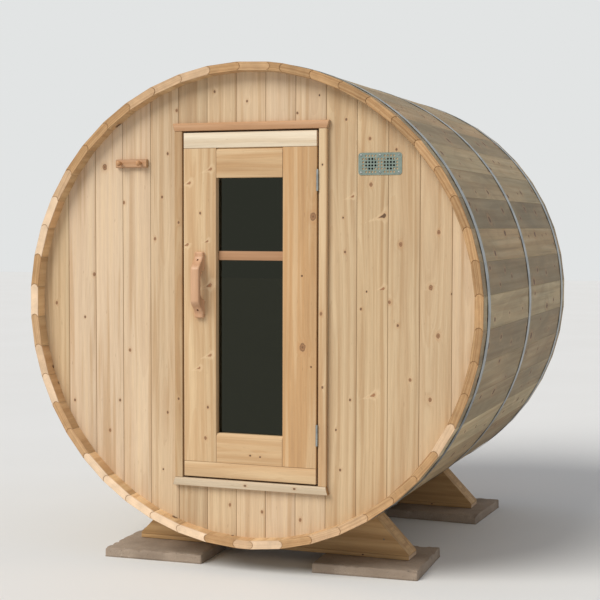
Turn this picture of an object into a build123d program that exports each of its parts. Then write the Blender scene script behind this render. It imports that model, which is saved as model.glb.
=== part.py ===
from build123d import *
import math
import os

# Barrel sauna: a cabin of ball-and-cove staves hooped by steel bands, with a
# framed glass door in its front wall, standing on two arched cradles.
# Millimetres. X to the right across the front, Y from the front to the back,
# Z up from the ground. The origin lies on the ground, under the middle of the
# whole outline.

overrun = 1.0                  # of a cutting shape past what it cuts

# Barrel
barrel_radius = 975.0          # outer corners of the staves
stave_length = 1830.0
stave_thickness = 35.0
full_staves_left = 24          # from the top closer down the left side
full_staves_right = 22         # from the bottom closer up the right side
closers = 2                    # half-width staves at the top and the bottom
top_joint_angle = 84.05        # left edge of the top closer, counter-clockwise from +X
stave_joint_gap = 0.4
bead_shoulder = 3.0            # square shoulder on each side of the bead
bead_rise = 11.0               # how far the bead stands out of the edge
bead_pull_back = 0.3           # how much shallower the bead is than its cove

# End walls, each let into a groove across the staves
wall_recess = 57.0             # from the stave ends to the wall's outer face
wall_thickness = 38.0
croze_depth = 9.0
croze_clearance = 0.3
board_coverage = 127.5
wall_offset = 9.0              # the middle board and the door sit right of the barrel's middle
tongue_length = 8.0
tongue_thickness = 9.0
tongue_clearance = 0.3
joint_bevel = 1.5

# Steel bands and their tensioners
band_width = 45.0
band_thickness = 1.5
band_clearance = 0.3
band_inset = 89.0              # from the stave ends to the middle of an outer band
tensioner_angle = 214.0        # low on the left side
tensioner_gap = 60.0
lug_height = 26.0
lug_thickness = 4.0
tensioner_bolt_radius = 4.0
tensioner_bolt_clearance = 0.2
tensioner_head_radius = 7.0
tensioner_head_height = 5.5
tensioner_bolt_share = 0.6     # of the lug's height, from the band to the bolt

# Door
door_width = 574.0
door_margin = 275.0            # from the staves' outer corners to the door, above and below
door_thickness = 45.0
door_gap = 7.5                 # between the door and its casings, all round
end_board_height = 62.0        # boards across the top and the bottom of the door
stile_width = 143.0
rail_height = 120.0
rail_bevel = 10.0              # slope along each rail's upper front edge
door_joint_gap = 0.3
glass_setback = 30.0           # from the door's face to the glass
glass_thickness = 6.0
glass_rebate = 12.0            # depth of the groove that holds the glass
glass_clearance = 0.3
glazing_bar_height = 37.0
glazing_bar_drop = 313.0       # from the upper edge of the glass to the middle of the bar
glazing_bar_thickness = 22.0

# Casings on the outside and the stop frame on the inside
casing_width = 34.0
casing_thickness = 20.0
head_casing_height = 32.0
sill_height = 32.0
sill_thickness = 25.0
sill_bevel = 6.0
head_casing_bevel = 5.0
casing_flare = 9.0             # how far the head and the sill widen to their ends
casing_joint_gap = 0.3
stop_clearance = 5.0           # behind the closed door
stop_overlap = 15.0            # over the door's edge
flange_width = 45.0            # on the inner face of the wall
flange_thickness = 19.0

# Handle: one arched piece with a thin foot at each end
handle_centre = 85.5           # above the middle of the door
handle_centre_x = -213.0       # from the middle of the door
handle_length = 267.0
handle_width = 38.0
handle_reach = 60.0            # from the door's face to the outside of the grip
handle_grip_thickness = 22.0
handle_foot_thickness = 20.0
handle_foot_flat = 16.0        # from the end to where the outside starts to rise
handle_rise_end = 72.0         # from the end to where the grip runs straight
handle_foot_length = 72.0      # of the foot on the door
handle_hollow_run = 38.0       # of the curve from the foot up to the grip
handle_rounding = 4.5
handle_hole_inset = 32.0       # from each end
handle_counterbore_radius = 4.0
handle_screw_radius = 2.2
handle_screw_bed = 7.0         # wood left under the screw's head
handle_pilot_depth = 28.0

# Hinges
hinge_height = 83.0
hinge_margin = 196.0           # from the door's top and bottom to the middle of a hinge
hinge_leaf_depth = 36.0
hinge_leaf_thickness = 2.0
knuckle_radius = 4.6
knuckle_gap = 0.5
pin_radius = 2.5
pin_clearance = 0.05
pin_head_radius = 3.6
pin_head_height = 2.0
pin_set_forward = 3.5          # of the pin's axis in front of the door's face

# Vent plate
vent_angle = 45.9              # of its middle about the barrel's axis, from +X
vent_from_rim = 186.5          # from its middle to the staves' outer corners
vent_width = 176.0
vent_height = 86.0
vent_thickness = 2.0
vent_corner_radius = 12.0
vent_hole_radius = 4.2
vent_hole_sides = 12
vent_pitch = 12.5
vent_columns = 12
vent_rows = 6
vent_short_row_columns = (1, 2, 3, 4, 7, 8, 9, 10)
vent_duct_radius = 25.0
vent_duct_spacing = 75.0

# Peg rail on the left of the door
peg_rail_angle = 131.7         # of its middle about the barrel's axis, from +X
peg_rail_from_rim = 198.0      # from its middle to the staves' outer corners
peg_rail_width = 142.0
peg_rail_height = 34.0
peg_rail_thickness = 18.0
peg_spacing = 90.0
peg_rail_corner_radius = 6.0
peg_root_radius = 7.0
peg_waist_radius = 5.5
peg_knob_radius = 11.0
peg_tip_radius = 7.5
peg_knob_length = 16.0
peg_reach = 52.0

# Cradles
cradle_inset = 299.0           # from the stave ends to the cradle's outer face
cradle_depth = 115.0
cradle_side_inset = 368.0      # from the staves' outer corners to the cradle's end, across the barrel
cradle_drop = 63.0             # from the barrel's lowest point to the cradle's bottom
cradle_plate_thickness = 35.0
cradle_base_thickness = 17.0
cradle_end_slope = 46.0
cradle_end_thickness = 35.0
cradle_end_cut = 5.0           # height of the upright cut at the foot of a slope
cradle_clearance = 0.3

# Concrete pads under the cradles' ends
pad_side = 440.0
pad_thickness = 40.0
pad_end_inset = 150.0          # from the cradle's end to the middle of its pad
pad_centre_inset = 328.0       # from the stave ends, on average
pad_stagger = 24.0             # the left pads lie this much nearer to the stave ends, the right ones further
pad_turn = 2.5
pad_edge_chamfer = 6.0

# Floor boards inside
floor_height = 100.0           # above the lowest inner face of the staves
floor_slat_width = 88.0
floor_slat_thickness = 22.0
floor_slat_gap = 10.0
floor_end_gap = 25.0
floor_bearer_depth = 40.0
floor_bearers = 3
floor_bearer_inset = 160.0
floor_clearance = 0.3

# Worked out from the sizes above
stave_pitch = 360.0 / (full_staves_left + full_staves_right + closers / 2)
inner_radius = barrel_radius - stave_thickness
inner_flat_radius = inner_radius * math.cos(math.radians(stave_pitch / 2))
croze_radius = inner_flat_radius + croze_depth
wall_radius = croze_radius - croze_clearance
axis_height = barrel_radius + cradle_drop + pad_thickness
handle_tip = wall_recess - casing_thickness - handle_reach
front_y = -(stave_length + handle_tip) / 2
back_y = front_y + stave_length
wall_front_y = front_y + wall_recess
wall_back_y = wall_front_y + wall_thickness
rear_wall_y = back_y - wall_recess - wall_thickness
door_face_y = wall_front_y - casing_thickness
door_back_y = door_face_y + door_thickness
door_half_width = door_width / 2
door_half_height = barrel_radius - door_margin
opening_half_width = door_half_width + door_gap
opening_half_height = door_half_height + door_gap
hinge_centre = door_half_height - hinge_margin
pin_x = wall_offset + door_half_width + door_gap / 2
pin_y = door_face_y - pin_set_forward
boards_left = math.ceil((wall_radius + wall_offset) / board_coverage - 0.5)
boards_right = math.ceil((wall_radius - wall_offset) / board_coverage - 0.5)
vent_centre_x = (barrel_radius - vent_from_rim) * math.cos(math.radians(vent_angle))
vent_centre_z = (barrel_radius - vent_from_rim) * math.sin(math.radians(vent_angle))
peg_rail_centre_x = (barrel_radius - peg_rail_from_rim) * math.cos(math.radians(peg_rail_angle))
peg_rail_centre_z = (barrel_radius - peg_rail_from_rim) * math.sin(math.radians(peg_rail_angle))
cradle_half_length = barrel_radius - cradle_side_inset


def polar(radius, angle):
    """A point of the barrel's section, angle counter-clockwise from +X."""
    turn = math.radians(angle)
    return Vector(radius * math.cos(turn), radius * math.sin(turn))


def section_plane(y):
    """The plane across the barrel at y, drawn as seen from the front."""
    return Plane(origin=(0, y, axis_height), x_dir=(1, 0, 0), z_dir=(0, -1, 0))


def block(x0, x1, y0, y1, z0, z1):
    """A box between two corners, heights measured from the ground."""
    low = Vector(min(x0, x1), min(y0, y1), min(z0, z1))
    size = (abs(x1 - x0), abs(y1 - y0), abs(z1 - z0))
    corner = (Align.MIN, Align.MIN, Align.MIN)
    return Pos(low) * Box(*size, align=corner)


def prism(points, y0, y1):
    """An outline in X and height above the axis, run from y0 to y1."""
    face = section_plane(y0) * Polygon(*points, align=None)
    return extrude(face, amount=y1 - y0, dir=(0, 1, 0))


def disc(radius, y0, y1):
    """A round plate about the barrel's axis."""
    face = section_plane(y0) * Circle(radius)
    return extrude(face, amount=y1 - y0, dir=(0, 1, 0))


def solids_of(shape):
    """The solids of a shape, as a list."""
    return list(shape.solids())


def save(name, solids, colour):
    """Write one node."""
    node = solids[0] if len(solids) == 1 else Compound(children=solids)
    node.label = name
    node.color = Color(*colour)
    export_step(node, "parts/" + name + ".step")


cedar = (0.80, 0.64, 0.45)
cedar_dark = (0.64, 0.44, 0.28)
steel = (0.72, 0.74, 0.76)
galvanised = (0.62, 0.65, 0.64)
glass_colour = (0.16, 0.18, 0.17)
concrete = (0.52, 0.50, 0.47)


# Staves
def edge_points(angle, side, rise):
    """Outer shoulder, crest and inner shoulder of a joint edge.

    side is +1 on a stave's bead edge and -1 on its cove edge, along the
    direction of growing angle; rise is how far the crest leaves the edge.
    """
    along = polar(1, angle + 90)
    set_back = along * (-side * stave_joint_gap / 2)
    outer = polar(barrel_radius - bead_shoulder, angle) + set_back
    inner = polar(inner_radius + bead_shoulder, angle) + set_back
    crest = (outer + inner) * 0.5 + along * rise
    return outer, crest, inner


def stave(low_angle, high_angle, low_rise, high_rise):
    """One stave between two joint angles, rises along growing angle."""
    low_outer, low_crest, low_inner = edge_points(low_angle, -1, low_rise)
    high_outer, high_crest, high_inner = edge_points(high_angle, 1, high_rise)
    low_shift = low_outer - polar(barrel_radius - bead_shoulder, low_angle)
    high_shift = high_outer - polar(barrel_radius - bead_shoulder, high_angle)
    corners = [
        polar(barrel_radius, low_angle) + low_shift,
        polar(barrel_radius, high_angle) + high_shift,
        polar(inner_radius, high_angle) + high_shift,
        polar(inner_radius, low_angle) + low_shift,
    ]
    outline = [
        Line(corners[0], corners[1]),
        Line(corners[1], high_outer),
        ThreePointArc(high_outer, high_crest, high_inner),
        Line(high_inner, corners[2]),
        Line(corners[2], corners[3]),
        Line(corners[3], low_inner),
        ThreePointArc(low_inner, low_crest, low_outer),
        Line(low_outer, corners[0]),
    ]
    face = section_plane(front_y) * make_face(outline)
    board = extrude(face, amount=stave_length, dir=(0, 1, 0))
    return board - croze_cutter


def croze_ring(y0, y1):
    """The groove that takes the edge of a wall."""
    return disc(croze_radius, y0 - croze_clearance, y1 + croze_clearance)


croze_cutter = croze_ring(wall_front_y, wall_back_y) + croze_ring(rear_wall_y, rear_wall_y + wall_thickness)


def all_staves():
    """Every stave, counter-clockwise from the top closer.

    Beads point up on both sides, so the bottom closer has two beads and the
    top closer two coves.
    """
    half = stave_pitch / 2
    bead = bead_rise - bead_pull_back
    cove = bead_rise
    staves = []
    angle = top_joint_angle - half
    staves.append(stave(angle, top_joint_angle, cove, -cove))
    angle = top_joint_angle
    for _ in range(full_staves_left):
        staves.append(stave(angle, angle + stave_pitch, -bead, -cove))
        angle += stave_pitch
    staves.append(stave(angle, angle + half, -bead, bead))
    angle += half
    for _ in range(full_staves_right):
        staves.append(stave(angle, angle + stave_pitch, cove, bead))
        angle += stave_pitch
    return staves


os.makedirs("parts", exist_ok=True)

stave_groups = [
    "staves_top", "staves_upper_left", "staves_left", "staves_lower_left",
    "staves_bottom", "staves_lower_right", "staves_right", "staves_upper_right",
]
staves = all_staves()
group_size = len(staves) // len(stave_groups)
lead = group_size // 2
for number, name in enumerate(stave_groups):
    first = number * group_size - lead
    members = [staves[(first + step) % len(staves)] for step in range(group_size)]
    save(name, members, cedar)


# Bands
def band(middle_y):
    """A steel hoop with a gap at its tensioner, its ends turned out."""
    inner = barrel_radius + band_clearance
    outer = inner + band_thickness
    y0 = middle_y - band_width / 2
    y1 = middle_y + band_width / 2
    outward = polar(1, tensioner_angle)
    around = polar(1, tensioner_angle + 90)
    hoop = disc(outer, y0, y1)
    hoop = hoop - prism(
        [
            outward * (inner - lug_height) - around * (tensioner_gap / 2),
            outward * (outer + lug_height) - around * (tensioner_gap / 2),
            outward * (outer + lug_height) + around * (tensioner_gap / 2),
            outward * (inner - lug_height) + around * (tensioner_gap / 2),
        ],
        y0 - overrun,
        y1 + overrun,
    )
    for side in (-1, 1):
        near = around * (side * tensioner_gap / 2)
        far = around * (side * (tensioner_gap / 2 + lug_thickness))
        low = outward * (inner - lug_height)
        high = outward * (outer + lug_height)
        hoop = hoop + prism([low + near, high + near, high + far, low + far], y0, y1)
    hoop = hoop - disc(inner, y0 - overrun, y1 + overrun)
    bolt_radius = outer + lug_height * tensioner_bolt_share
    centre = outward * bolt_radius
    bolt_place = Pos(centre.X, middle_y, axis_height + centre.Y) * Rot(0, -tensioner_angle, 0)
    span = tensioner_gap + 2 * lug_thickness
    shank = Cylinder(tensioner_bolt_radius, span + 2 * tensioner_head_height)
    hoop = hoop - bolt_place * Cylinder(tensioner_bolt_radius + tensioner_bolt_clearance, span + 2 * overrun)
    bolt = shank
    for side in (-1, 1):
        head = extrude(RegularPolygon(tensioner_head_radius, 6), tensioner_head_height)
        start = span / 2 if side > 0 else -span / 2 - tensioner_head_height
        bolt = bolt + Pos(0, 0, start) * head
    return hoop, bolt_place * bolt


bands = {
    "band_front": front_y + band_inset,
    "band_middle": (front_y + back_y) / 2,
    "band_rear": back_y - band_inset,
}
tensioner_bolts = []
for name, middle_y in bands.items():
    hoop, bolt = band(middle_y)
    save(name, solids_of(hoop), steel)
    tensioner_bolts += solids_of(bolt)
save("tensioner_bolts", tensioner_bolts, steel)


# Walls
def wall_board(number, y0, outward):
    """One tongue-and-groove board, its tongue towards +X, counted from the middle one.

    outward is -1 where the weather side faces -Y and +1 where it faces +Y.
    """
    x0 = wall_offset + (number - 0.5) * board_coverage
    x1 = x0 + board_coverage
    y_mid = y0 + wall_thickness / 2
    half_tongue = tongue_thickness / 2
    board = block(
        x0 + tongue_clearance, x1, y0, y0 + wall_thickness,
        axis_height - barrel_radius, axis_height + barrel_radius,
    )
    tongue = block(
        x1, x1 + tongue_length, y_mid - half_tongue, y_mid + half_tongue,
        axis_height - barrel_radius, axis_height + barrel_radius,
    )
    groove_half = half_tongue + tongue_clearance
    groove = block(
        x0, x0 + tongue_clearance + tongue_length + tongue_clearance,
        y_mid - groove_half, y_mid + groove_half,
        axis_height - barrel_radius, axis_height + barrel_radius,
    )
    board = board + tongue - groove
    face_y = y0 if outward < 0 else y0 + wall_thickness
    for x in (x0 + tongue_clearance, x1):
        corner = Pos(x, face_y, axis_height) * Rot(0, 0, 45)
        side = joint_bevel * math.sqrt(2)
        board = board - corner * Box(side, side, 2 * barrel_radius)
    return board & disc(wall_radius, y0 - overrun, y0 + wall_thickness + overrun)


rear_boards = []
for number in range(-boards_left, boards_right + 1):
    rear_boards += solids_of(wall_board(number, rear_wall_y, 1))
save("rear_wall", rear_boards, cedar)

front_boards = {
    "front_wall_left": [],
    "front_wall_right": [],
    "front_wall_over_door": [],
    "front_wall_under_door": [],
}
door_boards = math.ceil(opening_half_width / board_coverage - 0.5)
full = 2 * barrel_radius
over_door = block(
    -full, full, wall_front_y - overrun, wall_back_y + overrun,
    axis_height + opening_half_height, axis_height + full,
)
under_door = block(
    -full, full, wall_front_y - overrun, wall_back_y + overrun,
    axis_height - full, axis_height - opening_half_height,
)
beside_door = block(
    -full, full, wall_front_y - overrun, wall_back_y + overrun,
    axis_height - opening_half_height, axis_height + opening_half_height,
) - block(
    wall_offset - opening_half_width, wall_offset + opening_half_width,
    wall_front_y - 2 * overrun, wall_back_y + 2 * overrun,
    axis_height - full, axis_height + full,
)
for number in range(-boards_left, boards_right + 1):
    board = wall_board(number, wall_front_y, -1)
    side = "front_wall_left" if number < 0 else "front_wall_right"
    if abs(number) > door_boards:
        if side == "front_wall_right":
            for shift in (-vent_duct_spacing / 2, vent_duct_spacing / 2):
                duct = section_plane(wall_front_y - overrun) * Pos(vent_centre_x + shift, vent_centre_z)
                duct = duct * Circle(vent_duct_radius)
                board = board - extrude(duct, amount=wall_thickness + 2 * overrun, dir=(0, 1, 0))
        front_boards[side] += solids_of(board)
        continue
    front_boards["front_wall_over_door"] += solids_of(board & over_door)
    front_boards["front_wall_under_door"] += solids_of(board & under_door)
    if abs(number) == door_boards:
        front_boards[side] += solids_of(board & beside_door)
for name, boards in front_boards.items():
    save(name, boards, cedar)

# Casings
casing_outer = opening_half_width + casing_width
casing_y = (door_face_y, wall_front_y)
for name, side in (("door_casing_left", -1), ("door_casing_right", 1)):
    casing = block(
        wall_offset + side * opening_half_width, wall_offset + side * casing_outer, *casing_y,
        axis_height - opening_half_height, axis_height + opening_half_height,
    )
    save(name, [casing], cedar)

head = prism(
    [
        (-casing_outer, opening_half_height + casing_joint_gap),
        (casing_outer, opening_half_height + casing_joint_gap),
        (casing_outer + casing_flare, opening_half_height + head_casing_height),
        (-casing_outer - casing_flare, opening_half_height + head_casing_height),
    ],
    *casing_y,
)
head_edge = head.edges().filter_by(Axis.X).sort_by(Axis.Z)[-2:].sort_by(Axis.Y)[0]
head = chamfer(head_edge, head_casing_bevel)
save("door_casing_head", [Pos(wall_offset, 0, 0) * head], cedar_dark)
sill_y = wall_front_y - sill_thickness
sill = prism(
    [
        (-casing_outer, -opening_half_height - casing_joint_gap),
        (-casing_outer - casing_flare, -opening_half_height - sill_height),
        (casing_outer + casing_flare, -opening_half_height - sill_height),
        (casing_outer, -opening_half_height - casing_joint_gap),
    ],
    sill_y,
    wall_front_y,
)
sill_edge = sill.edges().filter_by(Axis.X).sort_by(Axis.Z)[-2:].sort_by(Axis.Y)[0]
sill = chamfer(sill_edge, sill_bevel)
save("door_sill", [Pos(wall_offset, 0, 0) * sill], cedar)

# Stop frame inside: a lip in the opening and a flange on the wall
stop_y = door_back_y + stop_clearance
stop_half_width = door_half_width - stop_overlap
stop_half_height = door_half_height - stop_overlap
flange_half_width = opening_half_width + flange_width
flange_half_height = opening_half_height + flange_width
stop_frame = (
    block(
        -opening_half_width + casing_joint_gap, opening_half_width - casing_joint_gap, stop_y, wall_back_y,
        axis_height - opening_half_height + casing_joint_gap,
        axis_height + opening_half_height - casing_joint_gap,
    )
    + block(
        -flange_half_width, flange_half_width, wall_back_y, wall_back_y + flange_thickness,
        axis_height - flange_half_height, axis_height + flange_half_height,
    )
    - block(
        -stop_half_width, stop_half_width, stop_y - overrun, wall_back_y + flange_thickness + overrun,
        axis_height - stop_half_height, axis_height + stop_half_height,
    )
)
jamb_zone = block(
    -full, full, stop_y - overrun, wall_back_y + flange_thickness + overrun,
    axis_height - stop_half_height + casing_joint_gap, axis_height + stop_half_height - casing_joint_gap,
)
head_zone = block(
    -full, full, stop_y - overrun, wall_back_y + flange_thickness + overrun,
    axis_height + stop_half_height, axis_height + full,
)
foot_zone = block(
    -full, full, stop_y - overrun, wall_back_y + flange_thickness + overrun,
    axis_height - full, axis_height - stop_half_height,
)
save("door_stop_jambs", solids_of(Pos(wall_offset, 0, 0) * (stop_frame & jamb_zone)), cedar)
save("door_stop_head", solids_of(Pos(wall_offset, 0, 0) * (stop_frame & head_zone)), cedar)
save("door_stop_foot", solids_of(Pos(wall_offset, 0, 0) * (stop_frame & foot_zone)), cedar)

# Vent plate
vent_face = RectangleRounded(vent_width, vent_height, vent_corner_radius)
for row in range(vent_rows):
    for column in range(vent_columns):
        if row in (0, vent_rows - 1) and column not in vent_short_row_columns:
            continue
        x = (column - (vent_columns - 1) / 2) * vent_pitch
        z = (row - (vent_rows - 1) / 2) * vent_pitch
        vent_face -= Pos(x, z) * RegularPolygon(vent_hole_radius, vent_hole_sides)
vent_place = section_plane(wall_front_y) * Pos(vent_centre_x, vent_centre_z)
vent = extrude(vent_place * vent_face, amount=vent_thickness, dir=(0, -1, 0))
save("vent_plate", solids_of(vent), galvanised)

# Peg rail
rail_place = section_plane(wall_front_y) * Pos(peg_rail_centre_x, peg_rail_centre_z)
rail_face = RectangleRounded(peg_rail_width, peg_rail_height, peg_rail_corner_radius)
rail = extrude(rail_place * rail_face, amount=peg_rail_thickness, dir=(0, -1, 0))
for side in (-1, 1):
    peg_outline = [
        (0, 0),
        (peg_root_radius, 0),
        (peg_waist_radius, peg_reach - peg_knob_length),
        (peg_knob_radius, peg_reach - peg_knob_length / 2),
        (peg_tip_radius, peg_reach),
        (0, peg_reach),
    ]
    peg = revolve(Plane.XZ * make_face(Polyline(*peg_outline, close=True)), Axis.Z)
    peg_x = peg_rail_centre_x + side * peg_spacing / 2
    rail += Pos(peg_x, wall_front_y, axis_height + peg_rail_centre_z) * Rot(90, 0, 0) * peg
save("peg_rail", solids_of(rail), cedar_dark)


# Cradles
def cradle(outer_y, inward):
    """A box cradle: two arched plates, sloping ends and a base board."""
    back = outer_y + inward * cradle_depth
    y0 = min(outer_y, back)
    y1 = max(outer_y, back)
    bottom = -barrel_radius - cradle_drop
    foot = bottom + cradle_base_thickness
    slope_foot = foot + cradle_end_cut
    rise = -barrel_radius * math.cos(math.radians(cradle_end_slope)) - slope_foot
    run = rise / math.tan(math.radians(cradle_end_slope))
    outline = [
        (-cradle_half_length, foot),
        (cradle_half_length, foot),
        (cradle_half_length, slope_foot),
        (cradle_half_length - run, slope_foot + rise),
        (-cradle_half_length + run, slope_foot + rise),
        (-cradle_half_length, slope_foot),
    ]
    seat = disc(barrel_radius + cradle_clearance, y0 - overrun, y1 + overrun)
    plates = []
    for start in (y0, y1 - cradle_plate_thickness):
        plate = prism(outline, start, start + cradle_plate_thickness) - seat
        plates += solids_of(plate)
    inset = cradle_end_thickness / math.sin(math.radians(cradle_end_slope))
    room = prism(
        [
            (-cradle_half_length + inset - cradle_end_cut, foot),
            (cradle_half_length - inset + cradle_end_cut, foot),
            (cradle_half_length - inset - run, slope_foot + rise),
            (-cradle_half_length + inset + run, slope_foot + rise),
        ],
        y0 - overrun,
        y1 + overrun,
    )
    between = prism(outline, y0 + cradle_plate_thickness, y1 - cradle_plate_thickness)
    ends = solids_of(between - room - seat)
    base = block(
        -cradle_half_length, cradle_half_length, y0, y1,
        axis_height + bottom, axis_height + bottom + cradle_base_thickness,
    )
    return plates, ends, [base]


for side, outer_y, inward in (("front", front_y + cradle_inset, 1), ("rear", back_y - cradle_inset, -1)):
    plates, ends, base = cradle(outer_y, inward)
    save("cradle_" + side + "_plates", plates, cedar)
    save("cradle_" + side + "_ends", ends, cedar)
    save("cradle_" + side + "_base", base, cedar)

# Pads
pads = []
for x_side in (-1, 1):
    pad_inset = pad_centre_inset + x_side * pad_stagger
    for y, turn in ((front_y + pad_inset, 1), (back_y - pad_inset, -1)):
        pad = Box(pad_side, pad_side, pad_thickness, align=(Align.CENTER, Align.CENTER, Align.MIN))
        pad = chamfer(pad.edges().group_by(Axis.Z)[-1], pad_edge_chamfer)
        pad_x = x_side * (cradle_half_length - pad_end_inset)
        pads.append(Pos(pad_x, y, 0) * Rot(0, 0, turn * pad_turn) * pad)
save("pads", pads, concrete)

# Floor inside
floor_top = axis_height - inner_flat_radius + floor_height
slat_bottom = floor_top - floor_slat_thickness
floor_front = wall_back_y + flange_thickness + floor_end_gap
floor_back = rear_wall_y - floor_end_gap
floor_edge_height = inner_flat_radius - floor_height + floor_slat_thickness
floor_room = 2 * math.sqrt(inner_flat_radius**2 - floor_edge_height**2) - 2 * floor_clearance
floor_slats = math.floor((floor_room + floor_slat_gap) / (floor_slat_width + floor_slat_gap))
slats = []
for number in range(floor_slats):
    x = (number - (floor_slats - 1) / 2) * (floor_slat_width + floor_slat_gap)
    x0 = x - floor_slat_width / 2
    slats.append(block(x0, x0 + floor_slat_width, floor_front, floor_back, slat_bottom, floor_top))
save("floor_slats", slats, cedar)

floor_half_width = (floor_slats * (floor_slat_width + floor_slat_gap) - floor_slat_gap) / 2
bearers = []
for number in range(floor_bearers):
    share = number / (floor_bearers - 1)
    y = floor_front + floor_bearer_inset + share * (floor_back - floor_front - 2 * floor_bearer_inset)
    y0 = y - floor_bearer_depth / 2
    y1 = y + floor_bearer_depth / 2
    plank = block(-floor_half_width, floor_half_width, y0, y1, axis_height - inner_radius, slat_bottom)
    bearers += solids_of(plank & disc(inner_flat_radius - floor_clearance, y0 - overrun, y1 + overrun))
save("floor_bearers", bearers, cedar)


# Door
def door_block(x0, x1, z0, z1, y0=door_face_y, y1=door_back_y):
    """A member of the door, measured from the door's middle."""
    return block(wall_offset + x0, wall_offset + x1, y0, y1, axis_height + z0, axis_height + z1)


stile_top = door_half_height - end_board_height - door_joint_gap
glass_half_width = door_half_width - stile_width
glass_top = stile_top - rail_height
glass_y = door_face_y + glass_setback
pane_half_width = glass_half_width + glass_rebate - glass_clearance
groove_y0 = glass_y - glass_clearance
groove_y1 = glass_y + glass_thickness + glass_clearance
glass_groove = door_block(
    -glass_half_width - glass_rebate, glass_half_width + glass_rebate,
    -glass_top - glass_rebate, glass_top + glass_rebate, groove_y0, groove_y1,
)

for name, side in (("door_top_board", 1), ("door_bottom_board", -1)):
    inner_edge = door_half_height - end_board_height
    board = door_block(-door_half_width, door_half_width, side * inner_edge, side * door_half_height)
    save(name, [board], cedar)


def handle_hole_place(step):
    """The place of a handle screw on the door's face, lower for step -1."""
    z = handle_centre + step * (handle_length / 2 - handle_hole_inset)
    return Pos(wall_offset + handle_centre_x, door_face_y, axis_height + z) * Rot(90, 0, 0)


for name, side in (("door_stile_left", -1), ("door_stile_right", 1)):
    stile = door_block(side * glass_half_width, side * door_half_width, -stile_top, stile_top) - glass_groove
    if side < 0:
        for step in (-1, 1):
            pilot = Cylinder(handle_screw_radius, 2 * handle_pilot_depth)
            stile -= handle_hole_place(step) * pilot
    save(name, solids_of(stile), cedar)

rail_half_width = glass_half_width - door_joint_gap
for name, side in (("door_top_rail", 1), ("door_bottom_rail", -1)):
    rail = door_block(-rail_half_width, rail_half_width, side * glass_top, side * stile_top)
    edge = stile_top if side > 0 else -glass_top
    bevel = Plane(origin=(-full, 0, axis_height), x_dir=(0, 1, 0), z_dir=(1, 0, 0)) * Polygon(
        (door_face_y, edge),
        (door_face_y, edge - rail_bevel),
        (door_face_y + rail_bevel, edge),
        align=None,
    )
    rail = rail - extrude(bevel, amount=2 * full, dir=(1, 0, 0)) - glass_groove
    save(name, solids_of(rail), cedar)

bar_middle = glass_top - glazing_bar_drop
bar_low = bar_middle - glazing_bar_height / 2
bar_high = bar_middle + glazing_bar_height / 2
bar_y = glass_y + glass_thickness / 2 - glazing_bar_thickness / 2
bar_groove = glass_rebate
bar = door_block(-rail_half_width, rail_half_width, bar_low, bar_high, bar_y, bar_y + glazing_bar_thickness)
bar = bar - door_block(-full, full, bar_low, bar_low + bar_groove, groove_y0, groove_y1)
bar = bar - door_block(-full, full, bar_high - bar_groove, bar_high, groove_y0, groove_y1)
save("door_glazing_bar", solids_of(bar), cedar_dark)

panes = []
for low, high in ((-glass_top, bar_low), (bar_high, glass_top)):
    panes.append(door_block(
        -pane_half_width, pane_half_width,
        low - glass_rebate + glass_clearance, high + glass_rebate - glass_clearance,
        glass_y, glass_y + glass_thickness,
    ))
save("door_glass", panes, glass_colour)


# Handle
def handle_side(end, inward):
    """Half of the handle's outline in height and reach, from an end inwards."""
    inside = handle_reach - handle_grip_thickness
    rise_start = (end + inward * handle_foot_flat, handle_foot_thickness)
    rise_end = (end + inward * handle_rise_end, handle_reach)
    foot = (end + inward * handle_foot_length, 0)
    hollow_end = (end + inward * (handle_foot_length + handle_hollow_run), inside)
    outside = [
        Line((end, 0), (end, handle_foot_thickness)),
        Line((end, handle_foot_thickness), rise_start),
        Spline(rise_start, rise_end, tangents=[(inward, 0), (inward, 0)]),
    ]
    hollow = [
        Line((end, 0), foot),
        Spline(foot, hollow_end, tangents=[(0, 1), (inward, 0)]),
    ]
    return outside, hollow, rise_end, hollow_end


low_outside, low_hollow, low_grip, low_inner = handle_side(-handle_length / 2, 1)
high_outside, high_hollow, high_grip, high_inner = handle_side(handle_length / 2, -1)
handle_outline = low_outside + low_hollow + high_outside + high_hollow
handle_outline += [Line(low_grip, high_grip), Line(low_inner, high_inner)]
handle_plane = Plane(
    origin=(wall_offset + handle_centre_x - handle_width / 2, door_face_y, axis_height + handle_centre),
    x_dir=(0, 0, 1),
    z_dir=(1, 0, 0),
)
handle = extrude(handle_plane * make_face(handle_outline), amount=handle_width, dir=(1, 0, 0))
if handle.bounding_box().min.Y > door_face_y - overrun:
    raise ValueError("the handle points into the door")
side_edges = []
for face in handle.faces().filter_by(Axis.X):
    side_edges += [edge for edge in face.edges() if edge.center().Y < door_face_y - overrun]
handle = fillet(side_edges, handle_rounding)
for step in (-1, 1):
    place = handle_hole_place(step)
    handle -= place * Cylinder(handle_screw_radius, 2 * handle_reach)
    counterbore = Cylinder(handle_counterbore_radius, handle_reach)
    handle -= place * Pos(0, 0, handle_screw_bed + handle_reach / 2) * counterbore
save("door_handle", solids_of(handle), cedar)


# Hinges
def knuckle(z0, z1, leaf_side):
    """A knuckle about the pin with the root of its leaf."""
    barrel = Pos(pin_x, pin_y, (z0 + z1) / 2) * Cylinder(knuckle_radius, z1 - z0)
    outer_x = pin_x + leaf_side * door_gap / 2
    root = block(
        outer_x, outer_x - leaf_side * hinge_leaf_thickness,
        pin_y, pin_y + knuckle_radius + knuckle_gap, z0, z1,
    )
    bore = Pos(pin_x, pin_y, (z0 + z1) / 2) * Cylinder(pin_radius + pin_clearance, z1 - z0 + 2 * overrun)
    return barrel + root - bore


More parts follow.
